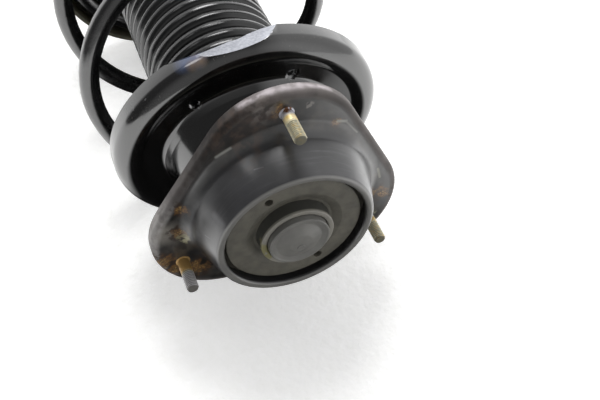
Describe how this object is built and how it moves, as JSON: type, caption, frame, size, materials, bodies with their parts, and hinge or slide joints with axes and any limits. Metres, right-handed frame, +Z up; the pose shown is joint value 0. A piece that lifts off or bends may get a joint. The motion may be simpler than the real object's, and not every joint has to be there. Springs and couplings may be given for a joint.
{
  "type": "suspension strut",
  "caption": "Coil spring over a damper tube, with a studded rubber top mount on a ball bearing, a tilted spring seat, a bellows boot, a spring perch and welded brackets.",
  "frame": {"origin": "centre of the stud circle, on the flange's outer face, on the axis of the piston rod", "axes": "the strut lies along Y: +Y runs from the mount to the knuckle bracket, and the studs point along -Y. +Z is up as it lies, and the knuckle ears point down."},
  "size_m": [0.1912, 0.5258, 0.2008],
  "materials": {
    "gloss_black": "gloss",
    "mount_paint": "satin",
    "perch_paint": "satin",
    "cap_grey": "satin",
    "yellow_zinc": "satin",
    "worn_steel": "satin",
    "bearing_steel": "polished",
    "spring_steel": "satin",
    "plain_steel": "satin",
    "rod_chrome": "polished",
    "sintered_iron": "matt",
    "guide_alloy": "satin",
    "cage_brass": "satin",
    "ring_plastic": "matt",
    "rubber": "matt",
    "boot_rubber": "satin",
    "foam": "matt"
  },
  "bodies": {
    "tube": {"strut_tube": "gloss_black", "tube_top_cap": "gloss_black", "rod_seal": "rubber", "rod_guide": "guide_alloy", "inner_cylinder": "plain_steel", "base_valve": "sintered_iron", "tube_end_cap": "gloss_black", "lower_spring_seat": "perch_paint", "lower_spring_pad": "rubber", "coil_spring": "gloss_black", "dust_boot": "boot_rubber", "knuckle_bracket": "gloss_black", "link_bracket": "gloss_black", "hose_bracket": "gloss_black"},
    "rod": {"piston_rod": "rod_chrome", "rebound_stop": "spring_steel", "piston": "sintered_iron", "piston_ring": "ring_plastic", "piston_nut": "plain_steel", "bump_stop": "foam", "upper_spring_seat": "gloss_black", "upper_spring_pad": "rubber", "seat_spacer": "plain_steel", "bearing_inner_race": "bearing_steel", "rod_washer": "plain_steel", "rod_nut": "plain_steel"},
    "mount": {"mount_plate": "mount_paint", "mount_studs": "yellow_zinc", "mount_rubber": "rubber", "bearing_carrier": "worn_steel", "bearing_outer_race": "bearing_steel", "bearing_circlip": "spring_steel", "dust_cap": "cap_grey"},
    "ball_cage": {"bearing_balls": "bearing_steel", "bearing_cage": "cage_brass"}
  },
  "joints": [
    {"name": "strut_stroke", "type": "slide", "parent": "tube", "child": "rod", "axis": [0, 1, 0], "range_m": [0, 0.14], "stiffness_N_per_m": 25000, "springref_m": -0.05, "deforming": ["coil_spring", "dust_boot", "bump_stop"]},
    {"name": "mount_swivel", "type": "hinge", "parent": "rod", "child": "mount", "pos_m": [0, -0.0065, 0], "axis": [0, 1, 0], "continuous": true},
    {"name": "cage_roll", "type": "hinge", "parent": "rod", "child": "ball_cage", "pos_m": [0, -0.0065, 0], "axis": [0, 1, 0], "continuous": true}
  ],
  "couplings": [
    {"joint": "cage_roll", "follows": "mount_swivel", "ratio": 0.619}
  ]
}
